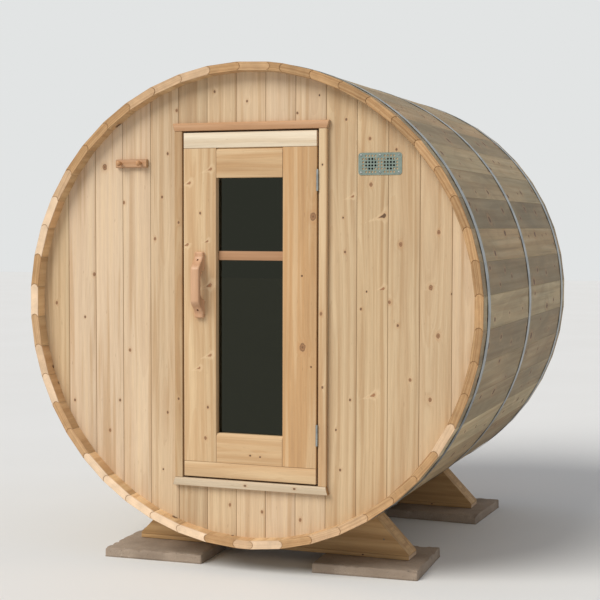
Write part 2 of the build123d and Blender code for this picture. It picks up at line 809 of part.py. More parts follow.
def leaf(middle_z, leaf_side):
    """The plate of one leaf, on the door's edge or on the casing's."""
    outer_x = pin_x + leaf_side * door_gap / 2
    return block(
        outer_x, outer_x - leaf_side * hinge_leaf_thickness,
        pin_y + knuckle_radius + knuckle_gap, door_face_y + hinge_leaf_depth,
        middle_z - hinge_height / 2, middle_z + hinge_height / 2,
    )


jamb_leaves = []
door_leaves = []
pins = []
for side in (-1, 1):
    middle_z = axis_height + side * hinge_centre
    third = hinge_height / 3
    low = middle_z - hinge_height / 2
    jamb_leaf = leaf(middle_z, 1) + knuckle(low, low + third - knuckle_gap, 1)
    jamb_leaf += knuckle(low + 2 * third + knuckle_gap, low + hinge_height, 1)
    jamb_leaves += solids_of(jamb_leaf)
    door_leaves += solids_of(leaf(middle_z, -1) + knuckle(low + third, low + 2 * third, -1))
    pin = Pos(pin_x, pin_y, middle_z) * Cylinder(pin_radius, hinge_height)
    pin_top = low + hinge_height + pin_head_height / 2
    pin += Pos(pin_x, pin_y, pin_top) * Cylinder(pin_head_radius, pin_head_height)
    pins += solids_of(pin)
save("hinge_jamb_leaves", jamb_leaves, galvanised)
save("hinge_pins", pins, galvanised)
save("hinge_door_leaves", door_leaves, galvanised)
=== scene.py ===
import random
from math import asin, atan2, copysign, cos, pi, radians, sin, sqrt

import bmesh
import bpy
from mathutils import Matrix, Vector, noise


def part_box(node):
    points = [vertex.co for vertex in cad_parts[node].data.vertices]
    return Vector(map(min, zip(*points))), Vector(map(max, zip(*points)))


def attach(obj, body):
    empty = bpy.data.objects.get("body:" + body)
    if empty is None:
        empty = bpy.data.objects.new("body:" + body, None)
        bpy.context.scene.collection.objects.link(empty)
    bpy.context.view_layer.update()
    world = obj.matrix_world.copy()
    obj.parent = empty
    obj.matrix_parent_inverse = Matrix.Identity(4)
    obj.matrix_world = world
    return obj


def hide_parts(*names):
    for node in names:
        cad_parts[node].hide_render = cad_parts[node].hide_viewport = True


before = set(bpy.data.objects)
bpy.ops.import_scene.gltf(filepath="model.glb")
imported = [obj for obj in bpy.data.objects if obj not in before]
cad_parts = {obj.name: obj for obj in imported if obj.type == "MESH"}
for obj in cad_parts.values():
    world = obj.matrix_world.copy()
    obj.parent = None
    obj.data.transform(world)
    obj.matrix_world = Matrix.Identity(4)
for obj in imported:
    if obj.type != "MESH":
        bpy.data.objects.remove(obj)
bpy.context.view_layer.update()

# Sizes of the barrel, in metres
barrel_radius = 0.975
stave_thickness = 0.035
inner_radius = barrel_radius - stave_thickness
stave_pitch = radians(360.0 / 47)
top_joint_angle = radians(84.05)
joint_gap = 0.0004
stave_arris = 0.0012
bead_shoulder = 0.003
bead_rise = 0.011
bead_pull_back = 0.0003
axis_height = 1.078
front_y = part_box("staves_right")[0].y
back_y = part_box("staves_right")[1].y
band_middles = (front_y + 0.089, (front_y + back_y) / 2, back_y - 0.089)

# Sizes of the walls
wall_offset = 0.009
board_coverage = 0.1275
boards_beside_middle = 7
wall_thickness = 0.038
wall_radius = 0.9466
wall_front_y = front_y + 0.057
rear_wall_y = back_y - 0.057
duct_radius = 0.025
duct_spacing = 0.075

# The door opening, its low and high ends taken from the barrel's axis
door_face_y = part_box("door_casing_left")[0].y
opening_x0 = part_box("door_casing_left")[1].x
opening_x1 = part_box("door_casing_right")[0].x
opening_z0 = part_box("door_casing_left")[0].z
opening_z1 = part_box("door_casing_left")[1].z
opening_low = opening_z0 - axis_height
opening_high = opening_z1 - axis_height
flare_width = 0.009


def span(node):
    """The low and the high corner of a node's box, and its middle."""
    low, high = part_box(node)
    return low, high, (low + high) / 2


def in_metres(*rows):
    """Rows of lengths given in millimetres."""
    return [tuple(value / 1000 for value in row) for row in rows]


def add_object(name, data):
    """An object of that name in the scene."""
    made = bpy.data.objects.new(name, data)
    bpy.context.scene.collection.objects.link(made)
    return made


# Camera: the photograph's viewpoint, fitted to the rim, the bands and the board joints
camera_place = (2.105, front_y - 5.084, axis_height + 0.326)
camera_data = bpy.data.cameras.new("camera")
camera_data.sensor_width = 36
camera_data.lens = 82.84
camera_data.clip_end = 100
camera = add_object("camera", camera_data)
camera.matrix_world = Matrix.Translation(camera_place)
for angle, axis in ((20.14, "Z"), (90 - 3.08, "X"), (0.13, "Z")):
    camera.matrix_world @= Matrix.Rotation(radians(angle), 4, axis)
bpy.context.scene.camera = camera


# Materials
def linear(*screen):
    """A colour given as it looks on a screen, 0 to 255, as linear light."""
    shares = [channel / 255 for channel in screen]
    return (*[v / 12.92 if v <= 0.04045 else ((v + 0.055) / 1.055) ** 2.4 for v in shares], 1)


def operator(operation, swapped=False):
    """An arithmetic method that adds a math node."""
    def work(a, b=None):
        return a.graph.math(operation, b, a) if swapped else a.graph.math(operation, a, b)
    return work


class Value:
    """What a node gives at each point; arithmetic on it adds nodes."""

    def __init__(self, graph, socket):
        self.graph = graph
        self.socket = socket

    __add__ = __radd__ = operator("ADD")
    __sub__ = operator("SUBTRACT")
    __rsub__ = operator("SUBTRACT", swapped=True)
    __mul__ = __rmul__ = operator("MULTIPLY")
    __truediv__ = operator("DIVIDE")
    __rtruediv__ = operator("DIVIDE", swapped=True)
    __abs__ = operator("ABSOLUTE")


class Graph:
    """Adds nodes to a tree. A colour of three numbers is a screen's, one of four is linear light."""

    def __init__(self, tree):
        self.tree = tree

    def node(self, kind, inputs=(), **settings):
        """A node with its settings, and its inputs by number or by name."""
        made = self.tree.nodes.new(kind)
        for key, value in settings.items():
            setattr(made, key, value)
        for key, value in dict(inputs).items():
            self.feed(made.inputs[key], value)
        return made

    def value(self, output, *node, **settings):
        return Value(self, self.node(*node, **settings).outputs[output])

    def feed(self, socket, value):
        if isinstance(value, Value):
            self.tree.links.new(value.socket, socket)
        elif socket.type == "RGBA" and len(value) == 3:
            socket.default_value = linear(*value)
        elif value is not None:
            socket.default_value = value

    def math(self, operation, a, b=None, clamp=False):
        return self.value(0, "ShaderNodeMath", {0: a, 1: b}, operation=operation, use_clamp=clamp)

    def fraction(self, value):
        return self.math("FRACT", value)

    def larger(self, a, b):
        return self.math("MAXIMUM", a, b)

    def mix(self, share, a, b, blend="MIX"):
        inputs = {0: share, 6: a, 7: b}
        return self.value(2, "ShaderNodeMix", inputs, data_type="RGBA", blend_type=blend, clamp_factor=True)

    def shade(self, colour, light):
        """A colour made lighter or darker by a factor."""
        return self.mix(1, colour, self.combine(light, light, light), "MULTIPLY")

    def band(self, value, low, high, most=1, least=0):
        """Eases from least to most as the value goes from low to high."""
        inputs = {0: value, 1: low, 2: high, 3: least, 4: most}
        return self.value(0, "ShaderNodeMapRange", inputs, interpolation_type="SMOOTHSTEP")

    def combine(self, x, y, z):
        return self.value(0, "ShaderNodeCombineXYZ", {0: x, 1: y, 2: z})

    def separate(self, vector):
        return [Value(self, socket) for socket in self.node("ShaderNodeSeparateXYZ", {0: vector}).outputs]

    def length(self, x, y):
        return self.value("Value", "ShaderNodeVectorMath", {0: self.combine(x, y, 0)}, operation="LENGTH")

    def noise(self, vector, scale, detail=2, roughness=0.5):
        """Noise at one scale, or at three along the vector's own directions."""
        if isinstance(scale, tuple):
            vector = self.value(0, "ShaderNodeVectorMath", {0: vector, 1: scale}, operation="MULTIPLY")
            scale = 1
        inputs = {"Vector": vector, "Scale": scale, "Detail": detail, "Roughness": roughness}
        return self.value("Fac", "ShaderNodeTexNoise", inputs)

    def noise_line(self, value, scale, detail):
        """Noise that varies with one number alone, as the widths of growth rings do."""
        inputs = {"W": value, "Scale": scale, "Detail": detail}
        return self.value("Fac", "ShaderNodeTexNoise", inputs, noise_dimensions="1D")

    def attribute(self, name, output="Vector"):
        return self.value(output, "ShaderNodeAttribute", attribute_name=name)

    def place(self):
        return self.value("Object", "ShaderNodeTexCoord")


class Finish(Graph):
    """The nodes of one material, and the colour laid so far."""

    def __init__(self, name):
        self.material = bpy.data.materials.new(name)
        self.material.use_nodes = True
        super().__init__(self.material.node_tree)
        self.tree.nodes.clear()
        self.shader = self.node("ShaderNodeBsdfPrincipled")
        self.node("ShaderNodeOutputMaterial", {0: Value(self, self.shader.outputs[0])})
        self.colour = None

    def lay(self, share, colour):
        """Lay a colour over the one that is there, as far as share says."""
        self.colour = self.mix(share, self.colour, colour)

    def set(self, **inputs):
        """Feed the shader's inputs, named with _ for each space."""
        for key, value in inputs.items():
            self.feed(self.shader.inputs[key.replace("_", " ")], value)

    def done(self, roughness, height, distance, strength):
        """Close with the colour laid, a roughness and a bump; gives the material."""
        inputs = {"Strength": strength, "Distance": distance, "Height": height}
        self.set(Base_Color=self.colour, Roughness=roughness, Normal=self.value(0, "ShaderNodeBump", inputs))
        return self.material


def pith_distance(g, across, deep, warmth, cut):
    """How far a point of a board is from the middle of its tree; each board has a place of its own."""
    return g.length(across - (warmth * 0.12 - 0.06), deep + (cut * 0.1 + 0.035))


def knot_reach(g, grain):
    """How many knot radii a point is from its knot's middle, that radius, and 1 for a spike knot.

    A knot of negative size is a spike knot, drawn out to a tail on its left.
    """
    across, along, size = g.separate(g.attribute("knot"))
    radius = abs(size)
    spike = g.math("LESS_THAN", size, 0)
    tail = spike * g.math("LESS_THAN", across, 0)
    wide = 1 - tail * 0.55
    tall = spike * 0.2 + 0.76 + tail * abs(across) * 90
    reach = g.length(across * wide, (along - spike * across * 0.35) * tall)
    reach = reach * (g.noise(grain, 90, 1) * 0.5 + 0.75) * (g.noise(grain, 420) * 0.6 + 0.7)
    return reach / g.larger(radius, 0.00002), radius, spike


def lay_knot(g, pale, share, radius, spike, weathered):
    """Paint a knot and the swirl round it; gives where its core is."""
    g.lay(g.band(share, 5, 2.5, 0.4) * spike, pale)
    g.lay(g.band(share, 3, 1, 0.3), (190, 142, 98))
    core = g.band(share, 1.1, 0.85, 0.88)
    heart = g.mix(g.fraction(share * 3.3) * 0.75, (168, 124, 86), (104, 70, 46))
    heart = g.mix(g.band(share, 0.5, 0.1, 0.7), heart, (70, 47, 33))
    heart = g.mix(spike * 0.6, heart, (166, 114, 76))
    small = g.band(radius, 0.0046, 0.0034, 1 - spike * 0.75)
    heart = g.mix(g.larger(small, spike * g.band(radius, 0.0072, 0.008, 0.85)), heart, (52, 36, 26))
    if weathered:
        heart = g.mix(0.6, heart, (44, 32, 22))
    g.lay(core, heart)
    g.lay(g.math("SUBTRACT", 1, abs(share - 1) * 5, clamp=True) * 0.7, (78, 54, 40))
    return core


def lay_weather(g, weather, grain, deep, light, lightness, warmth, rings, streaks):
    """Fade the outside of the staves, with drip marks, and stain it by the steel bands."""
    outside = g.band(deep, barrel_radius - 0.012, barrel_radius - 0.003)
    faded = g.mix(warmth * 0.6, weather, (164, 138, 98))
    faded = g.mix(g.band(streaks, 0.5, 0.66, 0.3), faded, (134, 112, 78))
    faded = g.mix(g.band(streaks, 0.46, 0.34, 0.25), faded, (190, 180, 154))
    faded = g.shade(faded, light * (lightness * 0.6 + 0.7) * (1.13 - rings * 0.36))
    g.lay(outside * g.band(g.noise(grain, (9, 9, 2.2), 3), 0.25, 0.7, 0.8, 0.5), faded)
    g.lay(outside * g.band(g.noise(grain, (60, 60, 1.6), 3), 0.52, 0.74, 0.35), (120, 104, 74))
    y = g.separate(g.place())[1]
    near = 0
    for band_y in band_middles:
        near = g.larger(near, g.band(abs(y - band_y), 0.075, 0.02))
    g.lay(near * outside * g.band(g.noise(grain, (45,) * 3, 3), 0.56, 0.7, 0.4), (62, 55, 46))


def wood(
    name, early, late, warm, edge_shading_and_wear, edge_share=0.6, ring_share=0.5, smooth=0, weather=None, axis=None,
):
    """Softwood with growth rings, fibres and knots, read from each board's own grain.

    early and late are the rings' colours and warm is the tone some boards lean
    to. weather is the colour of the outside of a stave after some months. With
    an axis, the grain runs along it and is read from the piece's place instead,
    with no knots.
    """
    g = Finish(name)
    pale = (*[min(1, channel * 1.12 + 0.02) for channel in linear(*early)[:3]], 1)
    if axis is None:
        grain = g.attribute("grain")
        lightness, warmth, cut = g.separate(g.attribute("tone"))
    else:
        x, y, z = g.separate(g.place())
        grain = g.combine(*{"x": (z, y, x), "y": (x, z, y)}[axis])
        lightness, warmth, cut = 0.5, 0.4, 0.5
    across, deep = g.separate(grain)[:2]
    ring = pith_distance(g, across, deep, warmth, cut)
    ring = ring + g.noise(grain, (2.5, 2.5, 0.8)) * 0.055 + g.noise(grain, (13, 13, 2.6)) * 0.006
    if axis is None:
        share, knot_radius, spike = knot_reach(g, grain)
        pull = 1 / (share * share * 0.16 + 1)
        ring = ring + pull * pull * knot_radius * 2.2
    rings = g.fraction(ring * 230) * 0.35 + g.band(g.noise_line(ring, 95, 3), 0.36, 0.66, 0.65)
    fibres = g.noise(grain, (420, 420, 9), 3, 0.6)
    hairs = g.noise(grain, (1500, 1500, 22))
    streaks = g.noise(grain, (38, 38, 1.1))
    patches = g.noise(grain, (6, 6, 1.4))
    flecks = g.noise(grain, (170, 170, 26), 1)

    g.colour = g.mix(rings * ring_share, early, late)
    g.lay(warmth * 0.6, warm)
    g.lay(g.band(streaks, 0.48, 0.68, 0.55), late)
    g.lay(g.band(streaks, 0.48, 0.32, 0.35), pale)
    light = (fibres * 0.34 + 0.83) * (hairs * 0.26 + 0.87) * (patches * 0.26 + 0.87)
    light = light * (lightness * 0.34 + 0.8)
    g.colour = g.shade(g.colour, light)
    g.lay(g.band(flecks, 0.7, 0.8, 0.35), (120, 78, 46))
    if weather is not None:
        lay_weather(g, weather, grain, deep, light, lightness, warmth, rings, streaks)
    height = rings * 0.4 + fibres
    if axis is None:
        height = height - lay_knot(g, pale, share, knot_radius, spike, weather is not None) * 0.6
        # The edge faces get the edge colour: painted shade in the joints with some dirt, and on the staves a
        # painted highlight on the arrises with worn fresh wood
        g.lay(g.attribute("tone", "Alpha") * edge_share, edge_shading_and_wear)
    g.set(Specular_IOR_Level=0.3)
    return g.done(fibres * (0.25 - 0.1 * smooth) + (0.5 - 0.18 * smooth), height, 0.0006, 0.35 - 0.2 * smooth)


def end_grain(name, early, late, edge_shading_and_wear):
    """The sawn end of a board: ring arcs, rays and small checks."""
    g = Finish(name)
    grain = g.attribute("grain")
    lightness, warmth, cut = g.separate(g.attribute("tone"))
    across, deep, along = g.separate(grain)
    ring = pith_distance(g, across, deep, warmth, cut) + g.noise(grain, (22, 22, 0)) * 0.006
    arcs = g.fraction(ring * 240)
    grit = g.noise(grain, (650,) * 3)
    patches = g.noise(grain, (26, 26, 3))
    checks = g.noise(grain, (150, 34, 1))
    g.colour = g.mix(arcs * 0.35 + g.band(g.noise_line(ring + along, 150, 2), 0.3, 0.7, 0.6), early, late)
    g.lay(g.band(lightness, 0.45, 0.85, 0.75), (226, 202, 174))
    g.colour = g.shade(g.colour, (lightness * 0.34 + 0.78) * (grit * 0.35 + 0.82) * (patches * 0.5 + 0.75))
    g.lay(g.band(checks, 0.68, 0.78, 0.35), (104, 70, 44))
    # The edge faces of the ends get painted shade in the joints between them, with some dirt
    g.lay(g.attribute("tone", "Alpha") * 0.4, edge_shading_and_wear)
    g.set(Specular_IOR_Level=0.2)
    return g.done(0.8, grit * 0.8 + arcs, 0.0006, 0.4)


def metal(name, colour, dark, roughness, along, coat=0):
    """Rolled or plated metal; along gives the scale of its brushed marks on each axis."""
    g = Finish(name)
    spot = g.place()
    marks = g.noise(spot, along, 4, 0.6)
    blots = g.noise(spot, 22, 3)
    g.colour = g.mix(g.band(blots, 0.35, 0.7, 0.55), colour, dark)
    g.lay(g.band(g.noise(spot, 260), 0.62, 0.74, 0.5), dark)
    g.lay(marks * 0.35, dark)
    g.set(Metallic=1, Coat_Weight=coat)
    return g.done((marks + blots) * 0.22 + (roughness - 0.14), marks, 0.0003, 0.2)


def tinted_glass():
    g = Finish("tinted_glass")
    smears = g.noise(g.place(), (3, 3, 1.5), 4, 0.6)
    g.set(
        Base_Color=g.mix(smears, (22, 24, 14), (32, 34, 22)), Roughness=g.band(smears, 0.55, 0.85, 0.06),
        Transmission_Weight=1, IOR=1.5, Specular_IOR_Level=0.2, Specular_Tint=(0.86, 0.9, 0.68, 1),
    )
    return g.material


def concrete():
    g = Finish("concrete")
    spot = g.place()
    sand = g.noise(spot, 420, 3, 0.7)
    lumps = g.noise(spot, 60, 3, 0.6)
    pits = g.value("Distance", "ShaderNodeTexVoronoi", {"Vector": spot, "Scale": 95})
    hole = g.band(pits, 0.22, 0.1) * g.band(lumps, 0.5, 0.6)
    g.colour = g.mix(g.band(g.noise(spot, 7, 3), 0.3, 0.7), (178, 160, 142), (150, 133, 116))
    g.lay(g.band(sand, 0.35, 0.7, 0.5), (112, 100, 90))
    g.lay(g.band(lumps, 0.6, 0.75, 0.4), (188, 176, 160))
    g.lay(hole * 0.7, (80, 70, 62))
    g.set(Specular_IOR_Level=0.25)
    return g.done(sand * 0.15 + 0.82, sand * 0.4 + lumps - hole, 0.002, 0.6)


def painted(name, colour, worn, roughness):
    """Thin paint on metal, with faint mottling and specks."""
    g = Finish(name)
    spot = g.place()
    specks = g.noise(spot, 700)
    g.colour = g.mix(g.band(g.noise(spot, 60, 3), 0.35, 0.7, 0.6), colour, worn)
    g.lay(g.band(specks, 0.6, 0.75, 0.35), (70, 72, 66))
    g.set(Metallic=0.15)
    return g.done(specks * 0.2 + roughness, specks, 0.0002, 0.15)


# Colours of the early and the late rings, of the tone of some boards and of the edges, then how much
# edges and rings show, and how smooth the wood is. The edge colour is painted shade in the joints and
# on the rounded arrises, with some dirt; the staves' pale one is a painted highlight on their arrises,
# with worn fresh wood there.
wall_wood = wood("cedar_wall", (208, 182, 144), (176, 139, 98), (214, 191, 166), (136, 104, 70), 0.45, 0.62)
door_wood = wood(
    "cedar_door", (213, 188, 150), (182, 142, 100), (196, 144, 88), (170, 136, 98), 0.3, 0.62, 0.4,
)
pale_wood = wood(
    "cedar_sapwood", (220, 206, 182), (200, 176, 144), (208, 182, 148), (170, 136, 98), 0.3, 0.5, 0.4,
)
red_wood = wood(
    "cedar_heartwood", (212, 173, 135), (174, 129, 90), (178, 127, 88), (140, 100, 70), 0.35, 0.5, 0.3,
)
handle_wood = wood(
    "cedar_handle", (214, 173, 138), (184, 138, 102), (196, 148, 110), (160, 120, 86), 0.6, 0.35, 1,
)
stave_wood = wood(
    "cedar_stave", (216, 186, 142), (178, 138, 94), (198, 152, 108), (190, 172, 136), 0.5,
    weather=(170, 158, 126),
)
rough_wood = wood("cedar_rough", (200, 166, 118), (156, 118, 74), (180, 132, 84), (136, 104, 70), 0.25)
bearer_wood = wood("cedar_bearer", (200, 166, 118), (156, 118, 74), (180, 132, 84), None, axis="x")
peg_wood = wood("cedar_peg", (200, 156, 112), (156, 108, 68), (182, 128, 88), None, axis="y", smooth=0.8)
stave_end = end_grain("cedar_stave_end", (210, 172, 126), (168, 124, 82), (140, 102, 68))
board_end = end_grain("cedar_end", (206, 170, 126), (150, 108, 70), (120, 84, 54))
band_steel = metal("band_steel", (142, 146, 146), (86, 90, 90), 0.26, (40, 900, 40), coat=0.1)
hinge_steel = metal("hinge_steel", (176, 180, 178), (120, 124, 124), 0.42, (600, 600, 40))
screw_steel = metal("screw_steel", (120, 118, 112), (70, 68, 66), 0.45, (900,) * 3)
vent_paint = painted("vent_metal", (128, 142, 132), (104, 118, 110), 0.48)
glass = tinted_glass()
slab_stone = concrete()


# Meshes
def shade_smooth(mesh, sharp):
    """Shade a mesh smooth, but for the edges that turn by more than sharp degrees."""
    mesh.shade_smooth()
    if sharp is not None:
        mesh.set_sharp_from_angle(angle=radians(sharp))


def settle(obj, body, replaces=()):
    """Hang a piece on its body and hide the nodes it stands for."""
    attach(obj, body)
    if replaces:
        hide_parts(*replaces)


def cut_away(obj, meshes):
    """Cut the meshes' shapes out of a piece; they are gone afterwards."""
    cutters = [add_object("cutter", mesh) for mesh in meshes]
    for cutter in cutters:
        modifier = obj.modifiers.new("cut", "BOOLEAN")
        modifier.operation = "DIFFERENCE"
        modifier.solver = "EXACT"
        modifier.object = cutter
    bpy.context.view_layer.update()
    mesh = bpy.data.meshes.new_from_object(obj.evaluated_get(bpy.context.evaluated_depsgraph_get()))
    obj.modifiers.clear()
    old = obj.data
    obj.data = mesh
    for mesh in (old, *meshes):
        bpy.data.meshes.remove(mesh)


def lathe(outline, x, y, z, turns=20, outward=-1):
    """A mesh turned from (radius, height), heights being out of the front at (x, y, z).

    With outward 1 they are out of the back.
    """
    angles = [2 * pi * step / turns for step in range(turns)]
    points = [(radius * cos(a), radius * sin(a), height) for radius, height in outline for a in angles]
    faces = []
    for a in range(0, len(points) - turns, turns):
        for step in range(turns):
            after = (step + 1) % turns
            faces.append((a + step, a + after, a + turns + after, a + turns + step))
    faces += [range(turns - 1, -1, -1), range(len(points) - turns, len(points))]
    mesh = bpy.data.meshes.new("part")
    mesh.from_pydata(points, [], faces)
    mesh.transform(Matrix.Translation((x, y, z)) @ Matrix.Rotation(radians(-90 * outward), 4, "X"))
    return mesh


def join(name, parts, material, body, replaces=(), sharp=38):
    """Join meshes into one piece; the parts are gone afterwards."""
    together = bmesh.new()
    for part in parts:
        together.from_mesh(part)
        bpy.data.meshes.remove(part)
    mesh = bpy.data.meshes.new(name)
    together.to_mesh(mesh)
    together.free()
    mesh.materials.append(material)
    shade_smooth(mesh, sharp)
    settle(add_object(name, mesh), body, replaces)


def axes(u, v, w, origin):
    """The placing matrix whose columns are three directions, and its origin."""
    turn = Matrix((Vector(u), Vector(v), Vector(w))).transposed().to_4x4()
    return Matrix.Translation(Vector(origin)) @ turn


def polar(radius, angle):
    return Vector((radius * cos(angle), radius * sin(angle)))


def signed_area(profile):
    """The area inside an outline, below zero if it runs clockwise."""
    return sum(u0 * v1 - u1 * v0 for (u0, v0), (u1, v1) in zip(profile, profile[1:] + profile[:1])) / 2


def inset(profile, distance):
    """A closed outline drawn in by a small distance, whichever way round it runs."""
    turn = 1 if signed_area(profile) > 0 else -1
    moved = []
    for index, point in enumerate(profile):
        here = Vector(point)
        first = (here - Vector(profile[index - 1])).normalized()
        second = (Vector(profile[(index + 1) % len(profile)]) - here).normalized()
        inward = Vector((-first.y, first.x)) * turn
        normal = Vector((-first.y - second.y, first.x + second.x)) * turn
        normal = (normal if normal.length >= 1e-6 else inward).normalized()
        moved.append(tuple(here + normal * (distance / max(0.5, normal.dot(inward)))))
    return moved


def rounded(u0, u1, v0, v1, radius=0.002, steps=2, bevel=None):
    """A rectangle with rounded corners and, per piece of outline, whether it is an edge that gets the edge
    colour, painted shade with some dirt.

    radius is one for all corners, or one each for (u0, v0), (u1, v0), (u1, v1)
    and (u0, v1). bevel is the size of a flat slope instead at (u1, v1).
    """
    radii = [radius] * 4 if isinstance(radius, float) else radius
    points = []
    edges = []
    corners = ((u0, v0, 1, 1), (u1, v0, -1, 1), (u1, v1, -1, -1), (u0, v1, 1, -1))
    for number, (u, v, in_u, in_v) in enumerate(corners):
        sloped = number == 2 and bevel is not None
        size, count = (bevel, 1) if sloped else (radii[number], steps)
        start = (180 + 90 * number) % 360
        for step in range(count + 1):
            angle = radians(start + 90 * step / count)
            points.append((u + in_u * size + size * cos(angle), v + in_v * size + size * sin(angle)))
        edges += [not sloped] * count + [False]
    return points, edges


def columned(points, edges, columns):
    """The same outline with its wide sides, those along u, divided into columns."""
    filled = []
    flags = []
    for (u, v), edge, (next_u, next_v) in zip(points, edges, points[1:] + points[:1]):
        wide = not edge and abs(next_u - u) > abs(next_v - v) * 2
        for step in range(columns if wide else 1):
            part = step / columns
            filled.append((u + (next_u - u) * part, v + (next_v - v) * part))
            flags.append(edge)
    return filled, flags


# Timber
class Timber:
    """Boards gathered into one piece, each face knowing its board and its knot."""

    def __init__(self, name, long_grain, end=board_end):
        self.name = name
        self.materials = (long_grain, end)
        self.points = []
        self.faces = []
        self.face_facts = [(0, 0, 0)]  # the first is for the faces that a cutter leaves
        self.face_materials = []
        self.boards = []

    def board(
        self, profile, edges, low, high, place, tone, knots=(), round_ends=0.0015, ends=1, grain=None,
    ):
        """One board: an outline run along w from low to high, each a length or a rule of (u, v).

        knots are (across, along, radius). place takes (u, v, w) to the frame,
        and grain takes the frame to the grain's own (across, deep, along).
        """
        draw = random.Random(self.name + str(len(self.boards)) + str(round(tone[0], 3)))
        knots = sorted(knots, key=lambda knot: knot[1])
        self.boards.append((place.inverted() if grain is None else grain, draw.uniform(0, 60), tone, knots))
        middles = [(a[1] + b[1]) / 2 for a, b in zip(knots, knots[1:])]
        shrunk = inset(profile, round_ends)
        lows = [low(*point) if callable(low) else low for point in profile]
        highs = [high(*point) if callable(high) else high for point in profile]
        rings = [
            [(*q, w) for q, w in zip(shrunk, lows)],
            [(*p, w + round_ends) for p, w in zip(profile, lows)],
            *[[(*p, middle) for p in profile] for middle in middles],
            [(*p, w - round_ends) for p, w in zip(profile, highs)],
            [(*q, w) for q, w in zip(shrunk, highs)],
        ]
        flip = (signed_area(profile) > 0) != (place.to_3x3().determinant() > 0)
        self.loft(rings, edges, place, flip, len(middles), ends)

    def loft(self, rings, edges, place, flip, last_knot=0, ends=1, shaded_and_worn_ends=1):
        """Skin the rings of a board and close its ends.

        The first and the last band round the ends: they are of material number
        ends, and get the edges' painted shade and wear if shaded_and_worn_ends is 1.
        Each band between them belongs to a knot of its own.
        """
        number = len(self.boards) - 1
        base = len(self.points)
        size = len(rings[0])
        self.points += [tuple(place @ Vector(point)) for ring in rings for point in ring]

        def face(corners, knot, edge, material):
            self.faces.append(corners[::-1] if flip else corners)
            self.face_facts.append((number, knot, edge))
            self.face_materials.append(material)

        for level in range(len(rings) - 1):
            at_end = level in (0, len(rings) - 2)
            knot = min(max(0, level - 1), last_knot)
            for index in range(size):
                a = base + level * size + index
                b = base + level * size + (index + 1) % size
                edge = shaded_and_worn_ends if at_end else int(edges[index])
                face([a, b, b + size, a + size], knot, edge, ends if at_end else 0)
        face(list(range(base + size - 1, base - 1, -1)), 0, 0, ends)
        top = base + (len(rings) - 1) * size
        face(list(range(top, top + size)), last_knot, 0, ends)

    def finish(self, *replaces, body="cabin", slot="cedar", cutters=(), sharp=42):
        """Make the piece, cut its holes, paint it and hang it on its body."""
        mesh = bpy.data.meshes.new(self.name)
        mesh.from_pydata(self.points, [], self.faces)
        for material in self.materials:
            mesh.materials.append(material)
        mesh.polygons.foreach_set("material_index", self.face_materials)
        mesh.attributes.new("fact", "INT", "FACE").data.foreach_set("value", range(1, len(self.faces) + 1))
        obj = add_object(self.name, mesh)
        if cutters:
            cut_away(obj, cutters)
        self.paint(obj.data)
        shade_smooth(obj.data, sharp)
        settle(obj, body, replaces)

    def paint(self, mesh):
        """Give each face corner its place in the grain, its knot and its board's tone."""
        facts = [self.face_facts[item.value] for item in mesh.attributes["fact"].data]
        mesh.attributes.remove(mesh.attributes["fact"])
        grain = []
        knot = []
        tone = []
        nowhere = (9, 9, 0)
        for polygon, (board, knot_number, edge) in zip(mesh.polygons, facts):
            inverse, shift, shade, knots = self.boards[board]
            nearest = knots[knot_number] if knots else nowhere
            for vertex in polygon.vertices:
                x, y, z = inverse @ mesh.vertices[vertex].co
                grain += (x, y, z + shift)
                knot += (x - nearest[0], z - nearest[1], nearest[2])
                tone += (*shade, edge)
        for key, kind, field, values in (
            ("grain", "FLOAT_VECTOR", "vector", grain), ("knot", "FLOAT_VECTOR", "vector", knot),
            ("tone", "FLOAT_COLOR", "color", tone),
        ):
            mesh.attributes.new(key, kind, "CORNER").data.foreach_set(field, values)


def some_tone(draw):
    """A board's lightness, warmth and cut."""
    return draw.uniform(0.4, 0.7), draw.uniform(0.1, 0.8), draw.random()


def some_knots(draw, low, high, half_width, spacing=0.34, sizes=(0.002, 0.007)):
    """Knots scattered along a board, clear of its ends; small ones are the most common."""
    knots = []
    along = low + draw.uniform(0.05, spacing)
    while along < high - 0.04:
        size = sizes[0] + (sizes[1] - sizes[0]) * draw.random() ** 1.6
        knots.append((draw.uniform(-half_width, half_width) * 0.75, along, size))
        along += draw.uniform(0.35, 1.7) * spacing
    return knots


# Staves
def stave_profile(low_angle, high_angle, low_rise, high_rise):
    """A stave's outline in its own frame, across along the tangent and deep along the radius."""
    radial = polar(1, (low_angle + high_angle) / 2)
    tangent = Vector((-radial.y, radial.x))

    def joint(angle, side, rise):
        """The edge at an angle: an arris, the bead or cove, and the inner arris."""
        outside = polar(1, angle)
        along = Vector((-sin(angle), cos(angle)))
        half = stave_thickness / 2 - bead_shoulder
        bulge = abs(rise)
        radius = (half * half + bulge * bulge) / (2 * bulge)
        spots = [(barrel_radius, -side * stave_arris), (barrel_radius - stave_arris, 0)]
        for step in range(9):
            swing = asin(half / radius) * (1 - step / 4)
            far = barrel_radius - stave_thickness / 2 + radius * sin(swing)
            spots.append((far, copysign(bulge - radius + radius * cos(swing), rise)))
        spots += [(inner_radius + stave_arris, 0), (inner_radius, -side * stave_arris)]
        return [outside * far + along * (off - side * joint_gap / 2) for far, off in spots]

    sides = joint(high_angle, 1, high_rise) + joint(low_angle, -1, low_rise)[::-1]
    outline = [(point.dot(tangent), point.dot(radial)) for point in sides]
    return outline, ([True] * (len(sides) // 2 - 1) + [False]) * 2


